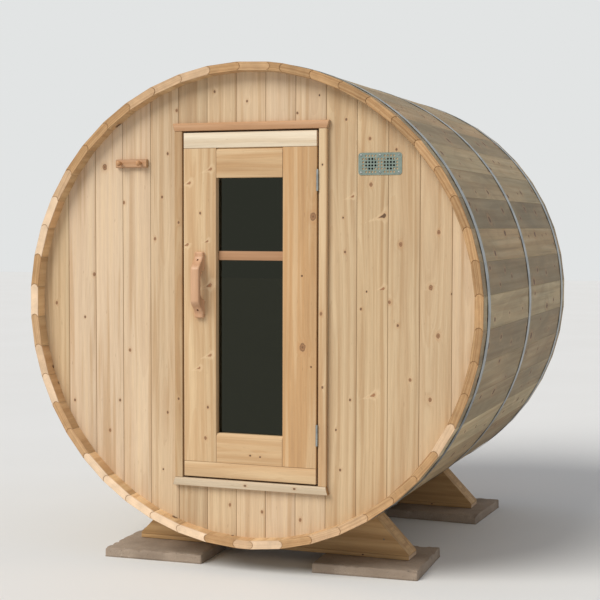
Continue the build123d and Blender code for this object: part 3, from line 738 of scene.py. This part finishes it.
def build_staves():
    """All staves from the top closer down the left side to the bottom one, and up the right side."""
    bead = bead_rise - bead_pull_back
    cove = bead_rise
    half = stave_pitch / 2
    staves = [(top_joint_angle - half, top_joint_angle, cove, -cove)]
    angle = top_joint_angle
    for count, pitch, low_rise, high_rise in (
        (24, stave_pitch, -bead, -cove), (1, half, -bead, bead), (22, stave_pitch, cove, bead),
    ):
        for _ in range(count):
            staves.append((angle, angle + pitch, low_rise, high_rise))
            angle += pitch
    groups = ("top", "upper_left", "left", "lower_left", "bottom", "lower_right", "right", "upper_right")
    size = len(staves) // len(groups)
    palest = radians(215)
    draw = random.Random(4)
    for number, group in enumerate(groups):
        timber = Timber("boards_staves_" + group, stave_wood, stave_end)
        for step in range(size):
            low, high, *rises = staves[(number * size - size // 2 + step) % len(staves)]
            middle = (low + high) / 2
            out = polar(1, middle)
            place = axes((-out.y, 0, out.x), (out.x, 0, out.y), (0, 1, 0), (0, 0, axis_height))
            pale = 0.5 + 0.35 * cos(middle - palest)
            tone = (pale + draw.uniform(-0.38, 0.38), draw.uniform(0.05, 0.95), draw.random())
            half_width = (high - low) * barrel_radius / 2
            knots = some_knots(draw, front_y, back_y, half_width, 0.2, (0.005, 0.013))
            ends = (front_y + draw.uniform(0, 0.0015), back_y - draw.uniform(0, 0.0015))
            timber.board(*stave_profile(low, high, *rises), *ends, place, tone, knots)
        timber.finish("staves_" + group)


build_staves()


# Walls
# Knots seen on the front wall and the door: millimetres right of the middle, above the axis, and radius.
# A negative radius is that of a spike knot.
wall_knots = in_metres(
    (299, 837, 3), (410, 740, 4), (507, 664, 5), (614, 620, 4), (512, 486, 6), (439, 441, -4),
    (565, 365, -8), (784, 302, 6), (633, 254, 6), (407, 224, 4), (844, 185, 5), (754, 90, 7), (563, 82, -5),
    (837, 67, 3), (589, 30, 5), (473, 1, 4), (623, -60, 4), (496, 70, 3), (784, -95, 7), (-318, 794, 5),
    (-359, 619, 4), (-385, 442, 4), (-418, 271, 5), (-648, 568, 9), (-879, 299, 4), (-848, 86, -7),
    (-881, -3, 5), (-149, 865, 4), (-8, 823, 4), (207, 770, 4), (-362, -446, 4), (-383, -684, 3),
    (372, -480, 3), (398, 358, 3), (-867, -183, 5), (-796, -414, 4), (-630, -534, 5), (-535, -193, 5),
    (-83, -812, 5), (58, -831, 5), (-582, -405, 4), (674, -269, 5), (754, -343, 6), (527, -335, -6),
    (430, -358, 4), (390, -639, 4), (222, -851, 5), (-700, 120, 6), (-560, 420, 5), (-745, -60, 4),
)
door_knots = in_metres(
    (-205, 376, 4), (-173, 262, -4), (-262, 248, -5), (-162, 84, -7), (-158, 553, -5), (-252, 498, -5),
    (-160, -200, -5), (-209, -254, -4), (-172, -413, 4), (-183, -540, 5), (281, 362, 11), (235, 128, 3),
    (238, -155, 11), (274, -232, 3), (14, -601, 3), (57, -604, 3), (-301, 338, 4), (-303, -384, 4),
    (319, 565, 3), (315, -20, 5), (322, -311, 4), (-6, -724, 4), (206, -722, 4),
)


# Lightness, warmth and cut of the wall boards, from left to right
wall_tones = [
    (0.7, 0.08, 0.3), (0.72, 0.95, 0.6), (0.74, 0.95, 0.2), (0.7, 0.8, 0.8), (0.55, 0.45, 0.4),
    (0.24, 0.25, 0.7), (0.55, 0.3, 0.1), (0.68, 0.5, 0.6), (0.62, 0.75, 0.3), (0.55, 0.6, 0.8),
    (0.46, 0.12, 0.5), (0.44, 0.04, 0.2), (0.38, 0.14, 0.9), (0.42, 0.25, 0.4), (0.5, 0.6, 0.6),
]


def knots_in(spots, x0, x1, z0, z1):
    """The knots seen on a board, right of its middle and above the barrel's axis."""
    middle = (x0 + x1) / 2
    return [(x - middle, z, size) for x, z, size in spots if x0 <= x < x1 and z0 < z < z1]


def groove_top(u, v):
    """Where a wall board ends above, in the groove across the staves."""
    return sqrt(max(0, wall_radius ** 2 - u * u))


def groove_foot(u, v):
    return -groove_top(u, v)


def build_wall_board(timber, x0, x1, low, high, y, outward, tone, knots):
    """A wall board with its face at y, which looks along outward, -1 or 1, times Y."""
    slit = 0.00005
    arrises = (0.0006, 0.0006, 0.0019, 0.0019)
    outline, edges = columned(*rounded(slit, x1 - x0 - slit, -wall_thickness, 0, arrises), 4)
    outline = [(u + x0, v) for u, v in outline]
    place = axes((1, 0, 0), (0, outward, 0), (0, 0, 1), (0, y, axis_height))
    grain = Matrix.Translation((-(x0 + x1) / 2, 0, 0)) @ place.inverted()
    timber.board(outline, edges, low, high, place, tone, knots, 0.0008, 1, grain)


def build_walls():
    """Both walls, board by board; the front one is cut for the door and the vent's ducts."""
    draw = random.Random(11)
    clearance = 0.0005
    clear_of_knots = 0.02
    rear = Timber("boards_rear_wall", wall_wood)
    names = ("front_wall_left", "front_wall_right", "front_wall_over_door", "front_wall_under_door")
    left, right, over, under = front = [Timber("boards_" + name, wall_wood) for name in names]
    for number, tone in enumerate(wall_tones, -boards_beside_middle):
        x0 = max(wall_offset + (number - 0.5) * board_coverage, -wall_radius + clearance)
        x1 = min(wall_offset + (number + 0.5) * board_coverage, wall_radius - clearance)
        reach = sqrt(wall_radius ** 2 - max(abs(x0), abs(x1)) ** 2)
        y = wall_front_y + draw.uniform(0, 0.0004)
        # Each part with its width, its ends, and the heights between which its knots lie
        parts = [(left if number < 0 else right, x0, x1, groove_foot, groove_top, -reach, reach)]
        if opening_x0 < x1 and x0 < opening_x1:
            parts = [
                (over, x0, x1, opening_high, groove_top, opening_high + clear_of_knots, reach),
                (under, x0, x1, groove_foot, opening_low, -reach, opening_low - clear_of_knots),
            ]
            for side, from_x, to_x in ((left, x0, opening_x0), (right, opening_x1, x1)):
                if from_x < to_x:
                    parts.append((side, from_x, to_x, opening_low, opening_high, opening_low, opening_high))
        for timber, from_x, to_x, low, high, knots_low, knots_high in parts:
            knots = knots_in(wall_knots, from_x, to_x, knots_low, knots_high)
            build_wall_board(timber, from_x, to_x, low, high, y, -1, tone, knots)
        rear_tone = some_tone(draw)
        knots = some_knots(draw, -reach, reach, (x1 - x0) / 2)
        build_wall_board(rear, x0, x1, groove_foot, groove_top, rear_wall_y, 1, rear_tone, knots)
    rear.finish("rear_wall")
    middle = span("vent_plate")[2]
    duct = [(duct_radius, -0.05), (duct_radius, 0.05)]
    ducts = [
        lathe(duct, middle.x + x, wall_front_y + wall_thickness / 2, middle.z, 48)
        for x in (-duct_spacing / 2, duct_spacing / 2)
    ]
    for name, timber in zip(names, front):
        timber.finish(name, cutters=ducts if timber is right else ())


build_walls()


# Planks that fill the box of a CAD node
def plank(timber, low, high, along, face, tone, knots=(), radius=0.002, bevel=None, rules=None, steps=2):
    """A board in the box low..high, its grain along an axis, its weather face towards face.

    along is an axis such as "x", and face one such as "-y". rules are those of
    the two ends, where they aren't square.
    """
    w_axis = "xyz".index(along)
    v_axis = "xyz".index(face[-1])
    u_axis = 3 - w_axis - v_axis
    v_sign = -1 if face[0] == "-" else 1
    unit = Matrix.Identity(3)
    origin = (Vector(low) + Vector(high)) / 2
    origin[v_axis] = high[v_axis] if v_sign > 0 else low[v_axis]
    place = axes(unit[u_axis], unit[v_axis] * v_sign, unit[w_axis], origin)
    half = (high[u_axis] - low[u_axis]) / 2
    reach = (high[w_axis] - low[w_axis]) / 2
    outline, edges = rounded(-half, half, low[v_axis] - high[v_axis], 0, radius, steps, bevel)
    timber.board(outline, edges, *(rules or (-reach, reach)), place, tone, knots)


def node_plank(name, node, material, body, along, tone, flare=0, **settings):
    """A plank that stands for a node, with the knots seen on it.

    With flare 1 or -1, its ends slant, and it narrows downwards or upwards.
    """
    timber = Timber(name, material)
    low, high, middle = span(node)
    knots = []
    for right, z, size in knots_in(door_knots, low.x, high.x, low.z - axis_height, high.z - axis_height):
        up = z + axis_height - middle.z
        knots.append((right, up, size) if along == "z" else (up, right, size))

    def slant(u, v):
        return high.x - middle.x + flare_width * (flare * u / (high.z - low.z) - 0.5)

    rules = (lambda u, v: -slant(u, v), slant) if flare else None
    plank(timber, low, high, along, "-y", tone, knots, rules=rules, **settings)
    timber.finish(node, body=body, slot="cedar_heartwood" if material is red_wood else "cedar")


# The casings: names of piece and node, wood, grain, tone and shape
for name, node, material, along, tone, shape in (
    ("casing_left", "door_casing_left", door_wood, "z", (0.06, 0.55, 0.2), {"radius": 0.0028}),
    ("casing_right", "door_casing_right", door_wood, "z", (0.6, 0.12, 0.6), {"radius": 0.0028}),
    ("casing_head", "door_casing_head", red_wood, "x", (0.62, 0.4, 0.4), {"bevel": 0.005, "flare": 1}),
    ("casing_sill", "door_sill", pale_wood, "x", (0.2, 0.7, 0.4), {"bevel": 0.006, "flare": -1}),
):
    node_plank(name, node, material, "cabin", along, tone, **shape)


def build_stops():
    """The frame behind the door: an outer part behind the wall, and a lip in the opening."""
    outside = 0.045
    past_stile = 0.015
    lip_back = wall_front_y + wall_thickness
    lip_end = lip_back + 0.001
    for part in ("jambs", "head", "foot"):
        timber = Timber("stop_" + part, wall_wood)
        low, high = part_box("door_stop_" + part)
        if part == "jambs":
            for side, edge, inner in (
                (-1, opening_x0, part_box("door_stile_left")[0].x + past_stile),
                (1, opening_x1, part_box("door_stile_right")[1].x - past_stile),
            ):
                tone = (0.6, 0.3 + 0.2 * side, 0.4)
                x0, x1 = sorted((edge + side * outside, inner))
                plank(timber, (x0, lip_back, low.z), (x1, high.y, high.z), "z", "y", tone)
                x0, x1 = sorted((edge, inner))
                plank(timber, (x0, low.y, low.z), (x1, lip_end, high.z), "z", "-y", tone)
        else:
            tone = (0.55, 0.4, 0.3)
            lip_low, lip_high = (low.z, opening_z1) if part == "head" else (opening_z0, high.z)
            plank(timber, (low.x, lip_back, low.z), high, "x", "y", tone)
            plank(timber, (opening_x0, low.y, lip_low), (opening_x1, lip_end, lip_high), "x", "-y", tone)
        timber.finish("door_stop_" + part)


build_stops()

# The door: names of piece and node, wood, grain, tone and shape
for name, node, material, along, tone, shape in (
    ("door_board_top", "door_top_board", pale_wood, "x", (0.8, 0.05, 0.9), {"radius": 0.0016}),
    ("door_board_bottom", "door_bottom_board", door_wood, "x", (0.62, 0.35, 0.7), {"radius": 0.0016}),
    ("door_board_left", "door_stile_left", door_wood, "z", (0.6, 0.25, 0.5), {"radius": 0.0018}),
    ("door_board_right", "door_stile_right", door_wood, "z", (0.42, 0.95, 0.2), {"radius": 0.0018}),
    ("door_rail_top", "door_top_rail", door_wood, "x", (0.55, 0.55, 0.1), {"bevel": 0.01}),
    ("door_rail_bottom", "door_bottom_rail", door_wood, "x", (0.66, 0.45, 0.3), {"bevel": 0.01}),
    ("door_bar", "door_glazing_bar", red_wood, "x", (0.05, 0.95, 0.3), {"radius": 0.0015}),
):
    node_plank(name, node, material, "door", along, tone, **shape)


def build_handle():
    """The handle lofted along its length, rounded where a hand holds it; gives its screws' places."""
    low, high, middle = span("door_handle")
    middle.y = high.y
    half_width = (high.x - low.x) / 2
    half_length = (high.z - low.z) / 2
    reach = high.y - low.y
    grip = 0.022
    foot_thickness = 0.02
    screw_from_end = 0.032
    stations = []
    distance = 0
    while distance < half_length:
        stations.append(distance)
        distance += 0.0012 if 0.068 < distance < 0.084 else 0.003
    rings = []
    for side, from_end in [(-1, d) for d in stations] + [(1, d) for d in (half_length, *stations[::-1])]:
        rise = min(1, max(0, (from_end - 0.016) / 0.056))
        outer = foot_thickness + (reach - foot_thickness) * (rise * rise * (3 - 2 * rise))
        part = min(1, max(0, (from_end - 0.072) / 0.038))
        inner = (reach - grip) * sqrt(1 - (1 - part) ** 2.4)
        radius = min(0.0065, (outer - inner) / 2 - 0.0005)
        back = 0.0008 if inner < 0.001 else radius
        shrink = 0.003 * (1 - sqrt(1 - (1 - min(from_end / 0.004, 1)) ** 2))
        wide = half_width - shrink
        outline, edges = rounded(-wide, wide, inner, outer - shrink, (back, back, radius, radius), 4)
        rings.append([(u, v, side * (half_length - from_end)) for u, v in outline])
    timber = Timber("handle", handle_wood)
    place = axes((1, 0, 0), (0, -1, 0), (0, 0, 1), middle)
    timber.boards.append((place.inverted(), 3.7, (0.55, 0.6, 0.35), []))
    timber.loft(rings, [False] * len(edges), place, True, ends=0, shaded_and_worn_ends=0)
    screws = [(middle.x, middle.z + side * (half_length - screw_from_end)) for side in (-1, 1)]
    holes = [lathe([(0.004, 0.007), (0.004, 0.08)], x, middle.y, z, 32) for x, z in screws]
    timber.finish("door_handle", body="door", cutters=holes, sharp=60)
    return screws


handle_screws = build_handle()


def build_floor():
    """The slats inside."""
    width = 0.088
    gap = 0.01
    timber = Timber("floor_boards", wall_wood)
    low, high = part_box("floor_slats")
    draw = random.Random(31)
    for number in range(7):
        x0 = low.x + number * (width + gap)
        tone = some_tone(draw)
        knots = some_knots(draw, -0.78, 0.78, 0.04)
        plank(timber, (x0, low.y, low.z), (x0 + width, high.y, high.z), "y", "z", tone, knots, radius=0.003)
    timber.finish("floor_slats")


build_floor()


# Cradles: arched plates, the pieces between their sloping ends, and a base board
cradle_slope = radians(46)
cradle_cut = 0.005
cradle_board = 0.035
seat_radius = barrel_radius + 0.0003


def meet(x, z):
    """Where a line from (x, z), rising inwards at the cradle's slope, meets the barrel."""
    run = Vector((-cos(cradle_slope), sin(cradle_slope)))
    start = Vector((x, z))
    middle = start.dot(run)
    far = -middle - sqrt(middle * middle - start.dot(start) + seat_radius * seat_radius)
    return start + run * far


def build_cradle(name):
    """The cradle in outlines of (across, height from the axis), run along the barrel."""
    low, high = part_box(name + "_plates")
    half = high.x
    foot = low.z - axis_height
    cut = foot + cradle_cut
    corner = meet(half, cut)
    first = atan2(corner.y, corner.x)
    sweep = -pi - 2 * first
    arc = [tuple(polar(seat_radius, first + sweep * step / 32)) for step in range(33)]
    outline = [(-half, foot), (half, foot), (half, cut), *arc, (-half, cut)]

    def run(timber, outline, y, depth, tone, round_ends, grain):
        place = axes((1, 0, 0), (0, 0, 1), (0, 1, 0), (0, y, axis_height))
        timber.board(outline, [False] * len(outline), 0, depth, place, tone, (), round_ends, 0, grain)

    draw = random.Random(name.split("_")[1])
    plates = Timber(name + "_boards", rough_wood)
    for y in (low.y, high.y - cradle_board):
        grain = Matrix(((0, 0, 1, -axis_height - foot - 0.08), (0, 1, 0, -y), (1, 0, 0, 0), (0, 0, 0, 1)))
        tone = (draw.uniform(0.4, 0.6), draw.uniform(0.3, 0.6), draw.random())
        run(plates, outline, y, cradle_board, tone, 0.0015, grain)
    plates.finish(name + "_plates")
    ends = Timber(name + "_end_blocks", rough_wood)
    start = cradle_board + 0.0003
    inner = half - cradle_board / sin(cradle_slope)
    for sign in (-1, 1):
        block = [(half, foot), (half, cut), corner, meet(inner, cut), (inner + cradle_cut, foot)]
        block = [(sign * x, z) for x, z in block]
        grain = Matrix(((0.72, 0, 0.69 * sign, 0), (0.69, 0, -0.72 * sign, 0), (0, 1, 0, 0), (0, 0, 0, 1)))
        run(ends, block, low.y + start, high.y - low.y - 2 * start, (0.85, 0.2, 0.4), 0.0008, grain)
    ends.finish(name + "_ends")
    base = Timber(name + "_base_board", rough_wood)
    knots = [(0, 0.41, 0.003)]
    plank(base, *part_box(name + "_base"), "x", "-y", (0.7, 0.35, 0.6), knots, radius=0.0015)
    base.finish(name + "_base")


build_cradle("cradle_front")
build_cradle("cradle_rear")


# Concrete pads
def build_pads():
    """Cast slabs with worn edges and chipped corners."""
    side = 0.44
    bevel = 0.007
    chipped_width = 0.015
    chipped_depth = 0.012
    from_middle = 0.457
    askew = radians(2.5)
    low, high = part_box("pads")
    thickness = high.z - low.z
    slabs = []
    draw = random.Random(77)
    for x_side, y_side in ((-1, -1), (-1, 1), (1, -1), (1, 1)):
        slab = bmesh.new()
        size = Matrix.Diagonal((side, side, thickness, 1))
        bmesh.ops.create_cube(slab, size=1, matrix=Matrix.Translation((0, 0, thickness / 2)) @ size)
        top = [edge for edge in slab.edges if all(v.co.z > thickness - 0.001 for v in edge.verts)]
        upright = [edge for edge in slab.edges if abs(edge.verts[0].co.z - edge.verts[1].co.z) > 0.01]
        bmesh.ops.bevel(slab, geom=top + upright, offset=bevel, segments=2, profile=0.6, affect="EDGES")
        for _ in range(5):
            long_edges = [edge for edge in slab.edges if edge.calc_length() > 0.014]
            if long_edges:
                bmesh.ops.subdivide_edges(slab, edges=long_edges, cuts=1, use_grid_fill=True)
        slab.normal_update()
        shift = Vector((draw.uniform(0, 50), draw.uniform(0, 50), 0))
        for vert in [vert for vert in slab.verts if vert.co.z >= 0.0005]:
            spot = vert.co + shift
            depth = 0.0006 + 0.0016 * (noise.noise(spot * 26) * 0.5 + 0.5)
            by_side = max(abs(vert.co.x), abs(vert.co.y)) > side / 2 - chipped_width
            if by_side and vert.co.z > thickness - chipped_depth:
                depth += max(0, noise.noise(spot * 38 + Vector((9, 9, 9))) - 0.12) * 0.02
            vert.co -= vert.normal * depth
        from_end = 0.328 + x_side * 0.024
        y = front_y + from_end if y_side < 0 else back_y - from_end
        turn = Matrix.Rotation(-askew * y_side, 4, "Z")
        place = Matrix.Translation((x_side * from_middle, y, 0)) @ turn
        bmesh.ops.transform(slab, matrix=place, verts=slab.verts)
        slabs.append(bpy.data.meshes.new("slab"))
        slab.to_mesh(slabs[-1])
        slab.free()
    join("concrete_pads", slabs, slab_stone, "cabin", ["pads"], sharp=None)


build_pads()

# Turned parts: radius and height of their outlines in millimetres, from the wall outwards
peg_outline = in_metres(
    (6.8, -2), (6.6, 4), (5.6, 14), (5.4, 24), (6.2, 31), (8.5, 34.5), (10.4, 38.5), (10.9, 42), (10.3, 46),
    (8.5, 49.2), (5.5, 51.2), (1.8, 52),
)
vent_screw_outline = in_metres(
    (4.6, 0), (4.5, 0.7), (4, 1.5), (3.1, 2.1), (1.9, 2.5), (1.3, 2.4), (0.9, 1.5), (0.4, 1.3),
)
sunk_screw_outline = in_metres(
    (3.7, 0), (3.7, 0.4), (3, 0.8), (1.6, 0.6), (1, -0.6), (0.4, -0.8),
)


def build_peg_rail():
    low, high, middle = span("peg_rail")
    rail = Timber("peg_rail_board", red_wood)
    thickness = 0.018
    apart = 0.045
    board = (low.x, wall_front_y - thickness, low.z), (high.x, wall_front_y, high.z)
    plank(rail, *board, "x", "-y", (0.5, 0.5, 0.3), radius=0.004, steps=3)
    rail.finish("peg_rail", slot="cedar_heartwood")
    pegs = [lathe(peg_outline, middle.x + x, wall_front_y, middle.z, 28) for x in (-apart, apart)]
    join("pegs", pegs, peg_wood, "cabin")


def build_screws():
    """The vent's screws, and those sunk in the handle and in the cradles' plates."""
    sunk = 0.0002
    apart_x = 0.0765
    apart_z = 0.0335
    handle_web = 0.0072
    cradle_x = (-0.53, 0.5)
    cradle_z = 0.062
    low, high, middle = span("vent_plate")
    vent = [
        lathe(vent_screw_outline, middle.x + x, low.y + sunk, middle.z + z)
        for x in (-apart_x, 0, apart_x) for z in (-apart_z, apart_z)
    ]
    handle = [lathe(sunk_screw_outline, x, door_face_y - handle_web, z) for x, z in handle_screws]
    cradles = []
    for node, outward in (("cradle_front_plates", -1), ("cradle_rear_plates", 1)):
        low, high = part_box(node)
        y = (low.y if outward < 0 else high.y) - sunk * outward
        cradles += [lathe(sunk_screw_outline, x, y, low.z + cradle_z, outward=outward) for x in cradle_x]
    join("vent_screws", vent, hinge_steel, "cabin")
    join("handle_screws", handle, screw_steel, "door")
    join("cradle_screws", cradles, screw_steel, "cabin")


build_peg_rail()
build_screws()

# Finishes of the nodes that keep their own shape
for material, nodes in (
    (bearer_wood, ("floor_bearers",)),
    (band_steel, ("band_front", "band_middle", "band_rear", "tensioner_bolts")),
    (hinge_steel, ("hinge_jamb_leaves", "hinge_door_leaves", "hinge_pins")),
    (vent_paint, ("vent_plate",)),
    (glass, ("door_glass",)),
):
    for node in nodes:
        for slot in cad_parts[node].material_slots:
            slot.material = material


# Soft light all round, and a plain backdrop where it is seen, mirrored or looked through to
world = bpy.data.worlds.new("sky")
bpy.context.scene.world = world
world.use_nodes = True
sky = Graph(world.node_tree)
light = sky.value(0, "ShaderNodeBackground", {0: (0.93, 0.95, 1.0, 1.0), 1: 0.46})
plain = sky.value(0, "ShaderNodeBackground", {0: (226, 228, 228), 1: 1})
rays = sky.node("ShaderNodeLightPath").outputs
seen, mirrored, through = [
    Value(sky, rays[name]) for name in ("Is Camera Ray", "Is Glossy Ray", "Is Transmission Ray")
]
plainly = sky.larger(sky.larger(seen, mirrored), through)
choice = sky.value(0, "ShaderNodeMixShader", {0: plainly, 1: light, 2: plain})
sky.feed(sky.tree.nodes["World Output"].inputs[0], choice)

sun = bpy.data.lights.new("key", "SUN")
sun.energy = 2.55
sun.angle = radians(35)
sun.color = (1, 0.97, 0.92)
add_object("key", sun).rotation_euler = Vector((-0.55, -1, 1.05)).to_track_quat("Z", "Y").to_euler()

studio = Finish("studio_floor")
studio.set(
    Base_Color=studio.mix(studio.noise(studio.place(), 0.8), (224, 224, 222), (230, 230, 229)), Roughness=0.9,
)
studio_mesh = bpy.data.meshes.new("floor")
studio_mesh.from_pydata([(-30, -30, 0), (30, -30, 0), (30, 30, 0), (-30, 30, 0)], [], [(0, 1, 2, 3)])
studio_mesh.materials.append(studio.material)
floor = add_object("floor", studio_mesh)
bpy.context.scene.view_settings.view_transform = "Standard"
